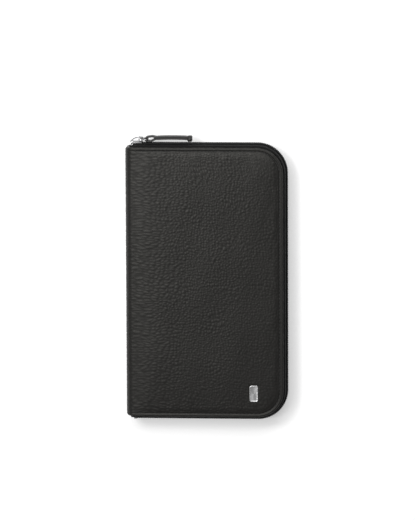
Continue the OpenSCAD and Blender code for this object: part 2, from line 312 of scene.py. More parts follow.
class Nodes:
    """One material and short ways to add nodes to it."""

    def __init__(self, name):
        self.material = bpy.data.materials.new(name)
        self.material.use_nodes = True
        self.tree = self.material.node_tree
        self.bsdf = self.tree.nodes["Principled BSDF"]

    def feed(self, socket, value):
        """Links a socket's output to this input, or sets its constant."""
        if isinstance(value, bpy.types.NodeSocket):
            self.tree.links.new(value, socket)
        else:
            socket.default_value = value

    def new(self, kind, inputs, **settings):
        node = self.tree.nodes.new(kind)
        for key, value in settings.items():
            setattr(node, key, value)
        for key, value in inputs.items():
            self.feed(node.inputs[key], value)
        return node

    def math(self, operation, a, b=0.0):
        return self.new("ShaderNodeMath", {0: a, 1: b}, operation=operation).outputs[0]

    def add(self, a, b):
        return self.math("ADD", a, b)

    def times(self, a, b):
        return self.math("MULTIPLY", a, b)

    def sine(self, value, period):
        return self.math("SINE", self.times(value, 2 * math.pi / period))

    def stored(self, name, kind="Fac"):
        """Values that the mesh holds point by point."""
        return self.new("ShaderNodeAttribute", {}, attribute_name=name).outputs[kind]

    def places(self, rest=True):
        """Position in millimetres: stored with the mesh, or the object's own."""
        if rest:
            return self.stored("rest_mm", "Vector")
        here = self.new("ShaderNodeTexCoord", {}).outputs["Object"]
        return self.new("ShaderNodeVectorMath", {0: here, 3: 1 / MM}, operation="SCALE").outputs[0]

    def noise(self, vector, size, detail=3.0, rough=0.5):
        inputs = {"Vector": vector, "Scale": 1 / size, "Detail": detail, "Roughness": rough}
        return self.new("ShaderNodeTexNoise", inputs).outputs["Fac"]

    def creases(self, vector, size):
        """Distance to the nearest border of a cellular pattern."""
        inputs = {"Vector": vector, "Scale": 1 / size}
        return self.new("ShaderNodeTexVoronoi", inputs, feature="DISTANCE_TO_EDGE").outputs["Distance"]

    def bands(self, vector, scale, distortion, direction):
        inputs = {"Vector": vector, "Scale": scale, "Distortion": distortion, "Detail": 1.0}
        settings = {"wave_type": "BANDS", "bands_direction": direction}
        return self.new("ShaderNodeTexWave", inputs, **settings).outputs["Fac"]

    def stretched(self, vector, factors):
        node = self.new("ShaderNodeVectorMath", {0: vector, 1: factors}, operation="MULTIPLY")
        return node.outputs[0]

    def ramp(self, value, low, high, to_low=0.0, to_high=1.0):
        inputs = {"Value": value, "From Min": low, "From Max": high, "To Min": to_low, "To Max": to_high}
        return self.new("ShaderNodeMapRange", inputs).outputs["Result"]

    def mix(self, factor, a, b):
        return self.new("ShaderNodeMix", {0: factor, 6: a, 7: b}, data_type="RGBA").outputs[2]

    def bump(self, height, distance_mm, strength, normal=None):
        inputs = {"Height": height, "Distance": distance_mm * MM, "Strength": strength}
        if normal is not None:
            inputs["Normal"] = normal
        return self.new("ShaderNodeBump", inputs).outputs["Normal"]

    def shade(self, color, roughness, normal=None, **fixed):
        """Finishes the material. fixed are further inputs of the shader, under their own names."""
        for key, value in (("Base Color", color), ("Roughness", roughness), ("Normal", normal)):
            if value is not None:
                self.feed(self.bsdf.inputs[key], value)
        for key, value in fixed.items():
            self.bsdf.inputs[key.replace("_", " ").title().replace("Ior", "IOR")].default_value = value
        return self.material


def grey(value, warm=0.0):
    return (value * (1 + warm), value, value * (1 - warm), 1.0)


def outer_leather():
    """Pebbled leather: the pebbles are in the mesh, the fine wrinkles and pores here. Its colour holds
    painted shade in the creases between the pebbles.
    """
    n = Nodes("pebbled_leather")
    place = n.places()
    pebble = n.stored("pebble")
    patches = n.noise(place, 26.0)
    pores = n.noise(place, 0.42, 2.0, 0.65)
    wrinkles = n.creases(place, 1.0)
    # Painted shade: the colour darkens from the pebble tops down into the creases between them
    painted_crease_shade = n.mix(pebble, grey(0.004, 0.03), grey(0.0095, 0.05))
    worn = n.mix(n.times(pebble, 0.8), painted_crease_shade, grey(0.015, 0.05))
    tint = n.mix(n.times(n.ramp(patches, 0.35, 0.7), 0.5), painted_crease_shade, worn)
    rough = n.add(n.ramp(pebble, 0.0, 1.0, 0.56, 0.41), n.ramp(pores, 0.3, 0.7, -0.04, 0.05))
    fine = n.bump(pores, 0.05, 0.5)
    normal = n.bump(n.ramp(wrinkles, 0.0, 0.3), 0.03, 0.3, fine)
    return n.shade(tint, rough, normal, specular_ior_level=0.34, specular_tint=(1, 0.985, 0.93, 1))


def smooth_leather(name, low=0.013, high=0.018):
    n = Nodes(name)
    place = n.places()
    grain = n.creases(place, 0.9)
    pores = n.noise(place, 0.35, 2.0, 0.6)
    patches = n.noise(place, 18.0)
    color = n.mix(n.ramp(patches, 0.25, 0.75), grey(low, 0.04), grey(high, 0.05))
    rough = n.add(n.ramp(patches, 0.25, 0.75, 0.47, 0.52), n.ramp(pores, 0.3, 0.7, -0.04, 0.05))
    normal = n.bump(n.ramp(grain, 0.0, 0.2), 0.05, 0.5, n.bump(pores, 0.03, 0.4))
    return n.shade(color, rough, normal, specular_ior_level=0.5)


def lining_cloth(name, rest=True):
    """Fine twill: diagonal ribs crossed by threads."""
    n = Nodes(name)
    place = n.places(rest)
    ribs = n.bands(place, 0.42, 0.5, "DIAGONAL")
    threads = n.bands(place, 0.8, 0.6, "X")
    patches = n.noise(place, 12.0)
    weave = n.add(n.times(ribs, 0.7), n.times(threads, 0.3))
    color = n.mix(weave, grey(0.018, 0.05), grey(0.05, 0.06))
    color = n.mix(n.ramp(patches, 0.3, 0.7, 0.0, 0.35), color, grey(0.022, 0.05))
    rough = n.ramp(weave, 0.0, 1.0, 0.92, 0.74)
    return n.shade(color, rough, n.bump(weave, 0.12, 0.7), sheen_weight=0.25, sheen_roughness=0.5)


def tape_weave():
    """Ribbed zip tape. 'along' and 'across' hold millimetres along and across the tape."""
    n = Nodes("zip_tape_weave")
    across = n.stored("across")
    rib = n.sine(n.add(n.stored("along"), n.math("PINGPONG", across, 1.4)), 0.9)
    height = n.add(n.add(n.times(rib, 0.3), n.times(n.sine(across, 0.7), 0.2)), 0.5)
    color = n.mix(height, grey(0.001), grey(0.0055, 0.02))
    rough = n.ramp(height, 0.0, 1.0, 0.95, 0.8)
    return n.shade(color, rough, n.bump(height, 0.16, 0.8), specular_ior_level=0.22)


def nylon():
    n = Nodes("coil_nylon")
    place = n.places()
    streaks = n.noise(place, 0.6, 2.0)
    color = n.mix(streaks, grey(0.003), grey(0.009))
    rough = n.ramp(streaks, 0.3, 0.7, 0.42, 0.58)
    return n.shade(color, rough, n.bump(streaks, 0.02, 0.4), specular_ior_level=0.3)


def thread_material(name, value):
    n = Nodes(name)
    place = n.places()
    twist = n.noise(place, 0.25, 1.0)
    color = n.mix(twist, grey(value * 0.6), grey(value * 1.3, 0.03))
    rough = n.ramp(twist, 0.3, 0.7, 0.5, 0.7)
    return n.shade(color, rough, n.bump(twist, 0.05, 0.6), sheen_weight=0.2, sheen_roughness=0.4)


def polished_metal(name="polished_plating", rest=False):
    """Bright plating with faint handling scratches."""
    n = Nodes(name)
    place = n.places(rest)
    scratches = n.noise(n.stretched(place, (0.3, 4.0, 1.0)), 0.5, 3.0, 0.7)
    cloud = n.noise(place, 3.0, 2.0)
    color = n.mix(cloud, (0.36, 0.36, 0.365, 1), (0.5, 0.5, 0.505, 1))
    rough = n.add(n.ramp(scratches, 0.4, 0.75, 0.1, 0.26), n.ramp(cloud, 0.3, 0.7, 0.0, 0.05))
    return n.shade(color, rough, n.bump(scratches, 0.006, 0.35), metallic=1.0)


def brushed_metal(name="brushed_badge", rest=True):
    n = Nodes(name)
    place = n.places(rest)
    brush = n.noise(n.stretched(place, (0.25, 9.0, 1.0)), 0.6, 2.0, 0.7)
    cloud = n.noise(place, 4.0, 2.0)
    color = n.mix(brush, (0.56, 0.56, 0.565, 1), (0.78, 0.78, 0.785, 1))
    rough = n.add(n.ramp(brush, 0.3, 0.7, 0.24, 0.36), n.ramp(cloud, 0.3, 0.7, -0.02, 0.04))
    return n.shade(color, rough, n.bump(brush, 0.02, 0.5), metallic=1.0, anisotropic=0.4)


def board_material():
    n = Nodes("grey_board")
    place = n.places(rest=False)
    fibres = n.noise(place, 1.2, 5.0, 0.7)
    color = n.mix(fibres, (0.20, 0.15, 0.10, 1), (0.36, 0.28, 0.20, 1))
    return n.shade(color, n.ramp(fibres, 0.2, 0.8, 0.85, 0.95), n.bump(fibres, 0.08, 0.5))


LEATHER = outer_leather()
INNER_LEATHER = smooth_leather("smooth_leather")
TAB_LEATHER = smooth_leather("pull_leather", low=0.009, high=0.014)
LINING = lining_cloth("twill_lining")
CAD_LINING = lining_cloth("twill_lining_on_cad", rest=False)
TAPE = tape_weave()
NYLON = nylon()
THREAD = thread_material("sewing_thread", 0.02)
INNER_THREAD = thread_material("inner_thread", 0.05)
METAL = polished_metal()
MADE_METAL = polished_metal("polished_plating_made", rest=True)
BADGE = brushed_metal()
CAD_BADGE = brushed_metal("brushed_backing", rest=False)
BOARD = board_material()


# ---- Outer leather ----

# Spacing of the points; radius and depth of the turned edge; the stitch groove; size of the pebbles
# and their share of it at the fold; rise of the padding and the crown; drop along the spine
STEP = 0.6
EDGE_R = 0.9
EDGE_DEPTH = 2.75
GROOVE_IN = 2.8
GRAIN = 2.15
FOLD_GRAIN = 0.26
PAD = 0.45
CROWN = 1.3
SPINE_IN = 0.75
INNER_R = CORNER_R - EDGE_R
HALF_SPINE = MID_Z - SPINE_R
TURN_LENGTH = math.pi / 2 * SPINE_R
BADGE_LEVEL = TOP_Z + 1.05


def edge_distance(x, y):
    """Distance inwards from the zip sides and the two ends of a cover."""
    in_corner = (x > CORNER_X) & (np.abs(y) > CORNER_Y)
    corner = CORNER_R - np.hypot(x - CORNER_X, np.abs(y) - CORNER_Y)
    straight = np.minimum(PANEL_X - x, PANEL_Y - np.abs(y))
    return np.where(in_corner, corner, straight)


def grain_height(u, y):
    """Pebbles and broader lumps over the unrolled skin: u is counted from the middle of the spine."""
    # The pattern is drawn out sideways over the fold and changes to round pebbles across the cover
    far, begin, change = np.abs(u), 20, 46
    t = np.clip((far - begin) / change, 0, 1)
    gained = change * (t**3 - t**4 / 2) + np.maximum(far - begin - change, 0)
    even = FOLD_GRAIN * far + (1 - FOLD_GRAIN) * gained
    stretch = FOLD_GRAIN + (1 - FOLD_GRAIN) * t * t * (3 - 2 * t)
    here = np.stack([u, y], axis=1)
    wander = 0.35 + 0.65 * stretch
    drift = np.stack([stretch * ripple(here, 30, 13), wander * ripple(here, 30, 14)], axis=1)
    warp = np.stack([stretch * ripple(here, 9, 11), wander * ripple(here, 9, 12)], axis=1)
    warped = np.stack([np.sign(u) * even, y], axis=1) + 0.3 * warp + 1.7 * drift
    pebbles = smoothstep(0.0, 0.9, cells(warped, GRAIN, 21))
    lumps = 0.5 + 0.5 * np.tanh(0.9 * ripple(warped, 3.4, 15, 9))
    return pebbles * (0.7 + 0.3 * stretch), lumps


def relief(d, x, front):
    """Rolled edge, stitch groove and the padded, slightly crowned field inside it. The rear cover
    is pressed flat by the wallet's weight."""
    groove = -0.45 * np.exp(-(((d - GROOVE_IN) / 0.5) ** 2))
    padded = PAD * smoothstep(GROOVE_IN, GROOVE_IN + 4.5, d)
    roll = 0.15 * np.exp(-(((d - 1.4) / 0.6) ** 2))
    fold = np.exp(-np.clip(x - TURN_X, 0, None) / 11)
    groove *= 1 - 0.7 * fold
    if not front:
        return groove + roll + (padded - PAD) * (1 - fold) - SPINE_IN * fold * fold
    crown = CROWN * (1 - np.exp(-np.clip(d - GROOVE_IN, 0, None) / 15))
    return groove + roll + (padded + crown) * (1 - fold) - SPINE_IN * fold


def under_badge(x, y):
    """1 under the metal plaque, where it presses the leather flat, falling to 0 just outside it."""
    low, high = box_mm("badge_plaque")
    mid, half = (low + high) / 2, (high - low) / 2 - 0.3
    beyond_x = np.clip(np.abs(x - mid[0]) - half[0], 0, None)
    beyond_y = np.clip(np.abs(y - mid[1]) - half[1], 0, None)
    return 1 - smoothstep(0, 1.7, np.hypot(beyond_x, beyond_y))


def rows_of_y():
    """Y of each row of points: even along the side, evenly turned round the corners."""
    turn = np.linspace(0, math.pi / 2, 47)[1:]
    straight = np.linspace(-CORNER_Y, CORNER_Y, round(2 * CORNER_Y / STEP))
    up = CORNER_Y + INNER_R * np.sin(turn)
    return np.concatenate([-up[::-1], straight, up])


def right_ends(ys, corner_r):
    """X at which each row ends on the zip side, for corners of this radius."""
    beyond = np.clip(np.abs(ys) - CORNER_Y, 0, corner_r)
    return CORNER_X + np.sqrt(np.maximum(corner_r**2 - beyond**2, 0))


def section_columns():
    """Shares across the flat part, then angles round the turn, then depths down the spine."""
    flat_width = PANEL_X - EDGE_R - TURN_X
    fine_strip = 5
    near_edge = np.arange(0, fine_strip, 0.36)
    rest = np.linspace(fine_strip, flat_width, round((flat_width - fine_strip) / STEP))
    flat = np.concatenate([near_edge, rest]) / flat_width
    turn = np.linspace(0, math.pi / 2, 24)[1:]
    down = np.linspace(0, HALF_SPINE, 9)[1:]
    return flat, turn, down


def skin_grid(ys):
    """One cover's outer face and its half of the spine without relief: X and Z of its points, X and
    Z of their outward normals, and u, the way along the face from the middle of the spine."""
    flat, turn, down = section_columns()
    right = right_ends(ys, INNER_R)[:, None]
    end_beyond = np.clip(np.abs(ys) - (PANEL_Y - EDGE_R - SPINE_END_R), 0, SPINE_END_R)
    end_drop = SPINE_END_R - np.sqrt(SPINE_END_R**2 - end_beyond**2)
    pinch = (1 - end_drop / SPINE_R * SPINE_PINCH)[:, None]
    x = np.zeros((len(ys), len(flat) + len(turn) + len(down)))
    z, u, nx, nz = np.zeros_like(x), np.zeros_like(x), np.zeros_like(x), np.ones_like(x)
    a, b = len(flat), len(flat) + len(turn)
    x[:, :a] = right + (TURN_X - right) * flat
    x[:, a:b] = TURN_X - SPINE_R * np.sin(turn) * pinch
    x[:, b:] = TURN_X - SPINE_R * pinch
    z[:, :a] = TOP_Z
    z[:, a:b] = TOP_Z - SPINE_R + SPINE_R * np.cos(turn)
    z[:, b:] = TOP_Z - SPINE_R - down
    u[:, :a] = HALF_SPINE + TURN_LENGTH + x[:, :a] - TURN_X
    u[:, a:b] = HALF_SPINE + TURN_LENGTH - SPINE_R * turn
    u[:, b:] = HALF_SPINE - down
    nx[:, a:b], nz[:, a:b] = -np.sin(turn), np.cos(turn)
    nx[:, b:], nz[:, b:] = -1, 0
    return x, z, nx, nz, u


def sway(u, x, y, d):
    """Slow unevenness of the front's field, with soft waves that run in from the stitched groove."""
    spread = np.stack([u.ravel(), y.ravel()], axis=1)
    slow = ripple(spread, 42, 31).reshape(x.shape) * 0.12
    drawn_in = ripple(spread, 9, 32).reshape(x.shape) * 0.13 * np.exp(-np.clip(d - GROOVE_IN, 0, None) / 7)
    return slow + drawn_in


def skin_height(x, y, u, front):
    """Height of the leather over its smooth face, and the share of a pebble (0 to 1) at each point."""
    d = edge_distance(x, y)
    side = 1 if front else -1
    fine, coarse = (a.reshape(x.shape) for a in grain_height(side * u.ravel(), y.ravel()))
    field = smoothstep(GROOVE_IN - 0.8, GROOVE_IN + 2.0, d)
    # The grain is pressed flatter towards the zip, the spine and the bottom
    worn = 1 - 0.3 * smoothstep(10, 60, x) - 0.25 * smoothstep(-35, -60, x) - 0.15 * smoothstep(20, -100, y)
    height = relief(d, x, front) + (0.25 * fine + 0.12 * coarse - 0.32) * (0.3 + 0.7 * field) * worn
    if front:
        height = height + sway(u, x, y, d) * field * smoothstep(TURN_X, TURN_X + 12, x)
        under = under_badge(x, y)
        height = height * (1 - under) + (BADGE_LEVEL - TOP_Z) * under
    return height, 0.65 * fine + 0.35 * coarse


def turned_edge(ys, outer, nx, nz):
    """Rings of points that carry the skin's border over the edge and under it, from the middle of
    the spine round the cover and back. The first ring is the border itself."""
    rows, cols = nx.shape
    border = [(0, c) for c in range(cols - 1, -1, -1)]
    border += [(r, 0) for r in range(1, rows)]
    border += [(rows - 1, c) for c in range(1, cols)]
    r, c = np.array(border).T
    base = outer[r, c]
    up = np.stack([nx[r, c], np.zeros(len(r)), nz[r, c]], axis=1)
    rise = np.where(c == 0, np.clip((np.abs(ys[r]) - CORNER_Y) / INNER_R, 0, 1), 1.0)
    out = np.stack([np.sqrt(1 - rise**2), rise * np.sign(ys[r]), np.zeros(len(r))], axis=1)
    drop = [(EDGE_R * math.sin(t), EDGE_R * (1 - math.cos(t))) for t in np.radians((25, 50, 72, 90))]
    drop += [(EDGE_R, 1.7), (EDGE_R - 0.1, EDGE_DEPTH - 0.3)]
    drop += [(EDGE_R - 0.5, EDGE_DEPTH), (-1.6, EDGE_DEPTH)]
    wobble = ripple(base[:, :2], 7, 33) * 0.05
    return [base] + [base + out * (o + wobble * (o > 0))[:, None] - up * dz for o, dz in drop]


def blend_at_spine(piece):
    """Bakes a skin's placement into its points."""
    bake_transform(piece)


def leather_skin(side):
    """Outer leather of one cover and its half of the spine, with its edge turned under."""
    front = side == "front"
    ys = rows_of_y()
    x, z, nx, nz, u = skin_grid(ys)
    y = np.repeat(ys[:, None], x.shape[1], axis=1)
    height, pebble = skin_height(x, y, u, front)
    outer = np.stack([x + nx * height, y, z + nz * height], axis=2)
    rings = turned_edge(ys, outer, nx, nz)
    edge = np.concatenate(rings)
    shell = Shell()
    shell.add(outer, quads(*x.shape, flip=not front))
    shell.add(edge, quads(len(rings), len(rings[0]), flip=front))
    if not front:
        for points in shell.points:
            points[:, 2] = TOP_Z - points[:, 2]
    values = {"pebble": np.concatenate([pebble.ravel(), np.full(len(edge), 0.55)])}
    replaced = ["front_leather", "spine_leather"] if front else ["rear_leather"]
    piece = shell.piece(f"{side}_cover_leather", LEATHER, None, "outer_leather", replaced, values)
    blend_at_spine(piece)


def edge_stitching(side):
    """Stitches in the groove round the zip sides of one cover."""
    front = side == "front"
    pitch, sunk = 3.1, 0.36
    total = sum(rim_lengths(-GROOVE_IN, TURN_X))
    s = np.arange(1.5, total - 1, pitch)
    places, _, tangents = rim_at(s, -GROOVE_IN, TURN_X)
    places[:, 2] = TOP_Z - sunk if front else sunk
    up = np.broadcast_to(Z_AXIS if front else -Z_AXIS, places.shape)
    shell = Shell()
    thread_bits(shell, places, tangents, up, pitch * 0.8, 0.24)
    shell.piece(f"{side}_edge_stitching", THREAD, f"{side}_cover", "smooth_leather")


# ---- Lining ----


def lining_skin(side):
    """Inner cloth of one cover and its half of the spine, one closed sheet."""
    front = side == "front"
    inset, thick = 1.7, 0.7
    spine_inner = box_mm("spine_lining")[1][0]
    r_x, r_z = TURN_X - spine_inner, SPINE_R - LINING_Z
    ys = rows_of_y()[::3] * (PANEL_Y - inset) / (PANEL_Y - EDGE_R)
    right = right_ends(ys, CORNER_R - inset)[:, None]
    flat = np.linspace(0, 1, 60)
    turn = np.linspace(0, math.pi / 2, 12)[1:]
    down = np.linspace(0, HALF_SPINE, 5)[1:]
    # The section from the zip side over the cover, round the turn and down the spine
    normal_x = np.concatenate([0 * flat, np.sin(turn), 0 * down + 1])
    normal_z = np.concatenate([0 * flat + 1, np.cos(turn), 0 * down])
    section_x = -r_x * normal_x
    section_z = SPINE_R - r_z * normal_z
    section_z[-len(down) :] += down
    rows, cols = len(ys), len(section_x)
    x, z = np.tile(TURN_X + section_x, (rows, 1)), np.tile(section_z, (rows, 1))
    x[:, : len(flat)] = right + (TURN_X - right) * flat
    y = np.repeat(ys[:, None], cols, axis=1)
    top = np.stack([x, y, z], axis=2)
    under = top - thick * np.stack([normal_x, np.zeros(cols), normal_z], axis=1)
    points = np.concatenate([top.reshape(-1, 3), under.reshape(-1, 3)])
    if front:
        points[:, 2] = TOP_Z - points[:, 2]
    shell = Shell()
    shell.add(points, sheet_faces(rows, cols, flip=front))
    replaced = ["front_lining", "spine_lining"] if front else ["rear_lining"]
    piece = shell.piece(f"{side}_cover_lining", LINING, None, "lining_cloth", replaced)
    blend_at_spine(piece)


# ---- Main zip ----

COIL_PITCH = 1.5
COIL_CENTRE = ZIP_STAND - 0.85


def zip_tape(side):
    """Woven tape from under the leather's edge out to the row of teeth."""
    start = TEETH_START - 4.5
    profile = [(-5.5, 2.5), (-1.0, 2.5), (0.35, 2.75), (1.15, 3.7), (1.45, 5.6), (1.5, 8.4)]
    profile = curve_through(profile + [(1.52, MID_Z - 0.15)], 5)
    tangent = unit(np.gradient(profile, axis=0))
    normal = np.stack([tangent[:, 1], -tangent[:, 0]], axis=1)
    half = 0.27
    section = np.concatenate([profile + half * normal, (profile - half * normal)[::-1]])
    across = np.concatenate([[0], np.cumsum(np.linalg.norm(np.diff(profile, axis=0), axis=1))])
    across = np.concatenate([across, across[::-1]])
    total = sum(rim_lengths(0, start))
    s = np.append(np.arange(0, total, 1.6), total)
    places, out, _ = rim_at(s, 0, start)
    # Near its two ends each tape turns inwards and away from the other one, and its sewn edge
    # climbs with the leather round the turn of the spine
    tuck = 1 - smoothstep(0, TEETH_START - start, np.minimum(s, total - s))[:, None]
    climb = 0.13 * np.clip(TURN_X - places[:, :1], 0, None) ** 2
    share = smoothstep(3.0, MID_Z, section[:, 1])
    outwards = section[:, 0] - 2.4 * tuck**2 * share
    z = section[:, 1] - 2.0 * tuck * share + climb * (1 - share)
    points = places[:, None] + out[:, None] * outwards[..., None]
    front = side == "front"
    points[..., 2] = TOP_Z - z if front else z
    rows, cols = len(s), len(section)
    shell = Shell()
    shell.add(points, tube_faces(rows, cols, flip=front))
    values = {"along": np.repeat(s, cols), "across": np.tile(across, rows)}
    shell.piece(f"zip_tape_{side}_woven", TAPE, f"{side}_cover", "zip_tape", [f"zip_tape_{side}"], values)


def coil(shell, places, out, upwards, steps, radii, thread, shift):
    """Adds a row of coil teeth: one flattened turn of thread for every so many places (steps)."""
    turn = np.arange(len(places)) / steps * 2 * math.pi + shift
    cos, sin = np.cos(turn)[:, None], np.sin(turn)[:, None]
    radial = cos * radii[0] * out + sin * radii[1] * upwards
    shell.add(*sweep(places + radial, cos * out + sin * upwards, circle_section(thread, 6)))


def zip_teeth(side):
    """One row of coil teeth, half a turn behind the other row, and the cord that it is sewn on."""
    steps = 12
    total = sum(rim_lengths(COIL_CENTRE, TEETH_START))
    s = np.arange(0, total, COIL_PITCH / steps)
    places, out, _ = rim_at(s, COIL_CENTRE, TEETH_START)
    sign, shift = (1, 0) if side == "front" else (-1, math.pi)
    half = (MID_Z - TEETH_LOW) / 2
    places[:, 2] = MID_Z + sign * (half - 0.05)
    shell = Shell()
    coil(shell, places, out, sign * Z_AXIS, steps, (0.5, half - 0.28), 0.33, shift)
    # The cord inside the coil, sewn against the edge of the tape
    cord = places[::steps] - 0.38 * out[::steps]
    cord[:, 2] = MID_Z + sign * (half + 0.15)
    shell.add(*sweep(cord, Z_AXIS, round_section(1.2, 1.3, 0.2, 2)))
    shell.piece(f"zip_coil_{side}", NYLON, f"{side}_cover", "nylon_teeth", [f"zip_teeth_{side}"])


# ---- Slider, ring and pull tab ----


def carry_over(node, material, bevel=0.0):
    """A CAD piece whose shape is right: it gets its finish and soft edges."""
    piece = NODES[node]
    piece.data.materials.clear()
    piece.data.materials.append(material)
    if bevel:
        modifier = piece.modifiers.new("edges", "BEVEL")
        modifier.width = bevel * MM
        modifier.segments = 3
        modifier.limit_method = "ANGLE"
        modifier.angle_limit = math.radians(40)


def pull_tab():
    """A leather strip folded round the ring's bar and sewn to itself."""
    low, high = box_mm("pull_tab")
    ring_low, ring_high = box_mm("puller_ring")
    width = high[2] - low[2] - 0.5
    thick, doubled = 1.4, 2.9
    bar_x, bar_y = ring_high[0] - 0.6, (ring_low[1] + ring_high[1]) / 2
    sewn_x, end_x = bar_x + 6.6, box_mm("pull_tab_end")[0][0] + 1.0
    strap_mid, radius = bar_x + 20.6, 250

    def arch(x, depth):
        """Y of the gently arched strap, depth below its upper face."""
        return high[1] - 0.9 - depth - (x - strap_mid) ** 2 / (2 * radius)

    nose = 0.95 + thick / 2
    xs = np.linspace(end_x, sewn_x, 10)
    lower = [(x, arch(x, doubled - thick / 2 - 0.05)) for x in xs]
    upper = [(x, arch(x, thick / 2)) for x in xs[::-1]]
    loop = [(bar_x + 4.4, bar_y - 0.75), (bar_x + 2.6, bar_y - nose - 0.05)]
    round_bar = np.radians((0, 45, 90, 135, 175))
    loop += [(bar_x - nose * math.sin(a), bar_y - nose * math.cos(a)) for a in round_bar]
    loop += [(bar_x + 2.0, bar_y + 2.1), (bar_x + 4.2, bar_y + 2.25)]
    line = curve_through(lower + loop + upper, 6)
    path = np.column_stack([line, np.full(len(line), MID_Z)])
    strap = Shell()
    outwards = np.cross(Z_AXIS, np.gradient(path, axis=0))
    strap.add(*sweep(path, outwards, round_section(width, thick, 0.42, 4)))
    strap.piece("pull_tab_strap", TAB_LEATHER, "pull_tab", "smooth_leather", ["pull_tab"])

    sewn = Shell()
    xs = np.arange(sewn_x, end_x - 1.5, 2.0)
    slope = np.array([[1.0, -(x - strap_mid) / radius, 0.0] for x in xs])
    for side in (-1, 1):
        z = MID_Z + side * (width / 2 - 1.15)
        for depth, up in ((0.02, Y_AXIS), (doubled - 0.08, -Y_AXIS)):
            row = np.array([[x, arch(x, depth), z] for x in xs])
            thread_bits(sewn, row, slope, np.tile(up, (len(xs), 1)), 1.55, 0.2)
    sewn.piece("pull_tab_stitching", THREAD, "pull_tab", "smooth_leather")


def pull_tab_end():
    """The thick folded end of the pull."""
    low, high = box_mm("pull_tab_end")
    width, height = (high - low)[:2]
    mid = (low + high) / 2
    steps = 9
    line = np.array([[mid[0], mid[1], z] for z in np.linspace(low[2] + 0.2, high[2] - 0.2, steps)])
    full = 1 - 0.16 * np.abs(np.linspace(-1, 1, steps)) ** 4
    shell = Shell()
    shell.add(*sweep(line, Y_AXIS, round_section(width, height, 1.1, 5), full))
    shell.piece("pull_tab_knob", TAB_LEATHER, "pull_tab", "smooth_leather", ["pull_tab_end"])


def slab(shell, outline, levels, centre):
    """Stacks an XZ outline along Y: levels are (inset share, y)."""
    rings = []
    for inset, y in levels:
        x, z = centre[0] + outline[:, 0] * (1 - inset), centre[2] + outline[:, 1] * (1 - inset)
        rings.append(np.column_stack([x, np.full(len(outline), y), z]))
    shell.add(np.concatenate(rings), tube_faces(len(levels), len(outline), flip=True, flip_caps=True))


def spine_end_tabs():
    """Leather tabs with round corners that close the two ends of the spine."""
    for end in ("top", "bottom"):
        low, high = box_mm(f"zip_end_tab_{end}")
        outline = round_section(high[0] - low[0] - 0.6, high[2] - low[2] - 0.4, 2.2, 7)
        levels = [(0.06, low[1]), (0.015, low[1] + 0.12), (0.0, low[1] + 0.3)]
        levels += [(0.0, high[1] - 0.3), (0.015, high[1] - 0.12), (0.06, high[1])]
        shell = Shell()
        slab(shell, outline, levels, (low + high) / 2)
        replaced = [f"zip_end_tab_{end}"]
        shell.piece(f"spine_end_tab_{end}", INNER_LEATHER, "spine", "smooth_leather", replaced)


def zip_slider():
    """Cast slider: two plates that taper behind the post, with rolled sides that hold the teeth."""
    low, high = box_mm("zip_slider_body")
    mid = (low + high) / 2
    length, width = high[0] - low[0], high[2] - low[2]
    outline = round_section(length, width, 2.1, 7)
    outline[:, 1] *= 1 - 0.16 * smoothstep(0, length / 2, outline[:, 0])
    coil_top = box_mm("zip_teeth_front")[1][1]
    shell = Shell()
    outer = [(0.10, coil_top + 0.1), (0.0, coil_top + 0.28), (0.0, high[1] - 0.42), (0.03, high[1] - 0.16)]
    slab(shell, outline, outer + [(0.09, high[1] - 0.03), (0.2, high[1]), (0.6, high[1] + 0.08)], mid)
    inner = [(0.12, low[1]), (0.04, low[1] + 0.12), (0.02, low[1] + 0.4), (0.06, low[1] + 0.75)]
    slab(shell, outline * 0.97, inner, mid)
    x = np.linspace(low[0] + 1.3, high[0] - 1.1, 9)
    drop = 0.25 * np.abs(np.linspace(-1, 1, len(x))) ** 3
    taper = 1 - 0.13 * smoothstep(0, length / 2, x - mid[0])
    for side in (-1, 1):
        z = mid[2] + side * (width / 2 - 0.42) * taper
        wall = np.column_stack([x, coil_top - 0.68 - drop * 0.3, z])
        shell.add(*sweep(wall, Y_AXIS, round_section(0.78, 1.66, 0.36, 3), 1 - 0.3 * drop))
    post = np.array([[low[0] + 2.1, y, mid[2]] for y in np.linspace(low[1] + 0.3, coil_top + 0.4, 4)])
    shell.add(*sweep(post, X_AXIS, round_section(0.9, 1.6, 0.4, 3)))
    piece = shell.piece("slider_casting", MADE_METAL, "zip_slider", "plated_metal", ["zip_slider_body"])
    split_sharp(piece, 48)


# ---- Badge ----


def badge():
    """Plain plaque with a raised, chamfered rim round a flat brushed field, and its two studs."""
    low, high = box_mm("badge_plaque")
    width, height = high[0] - low[0], high[1] - low[1]
    mid = (low + high) / 2
    level = BADGE_LEVEL + 0.35
    # Insets and heights of the outline, from the back over the rim to the field
    steps = [(0.0, -0.5), (0.0, 0.35), (0.12, 0.55), (0.35, 0.66), (0.75, 0.66)]
    steps += [(0.95, 0.53), (1.15, 0.52), (2.6, 0.52)]
    rings = []
    for inset, z in steps:
        outline = round_section(width - 2 * inset, height - 2 * inset, max(1.5 - inset, 0.5), 5)
        rings.append(np.column_stack([outline + mid[:2], np.full(len(outline), level + z)]))
    shell = Shell()
    shell.add(np.concatenate(rings), tube_faces(len(rings), len(rings[0])))
    for side in (-1, 1):
        stud = np.array([[mid[0], mid[1] + side * 4, z] for z in np.linspace(low[2], level, 4)])
        shell.add(*sweep(stud, X_AXIS, circle_section(0.9, 16)))
    piece = shell.piece("badge_plate", BADGE, "front_cover", "brushed_metal", ["badge_plaque"])
    split_sharp(piece, 50)


# ---- Inner leather panels ----

# Distances from a panel's edge where its rows of points stand closer; the stitches follow one of them
NEAR_EDGE = [0, 0.12, 0.3, 0.6, 1.1, 1.6, 2.0, 2.4, 2.9, 3.8]
STITCH_IN = 2.0


def panel_stations(length, count):
    """Places along one side of a panel, closer together near both ends."""
    near = np.array(NEAR_EDGE)
    return np.concatenate([near, np.linspace(5, length - 5, count), length - near[::-1]])


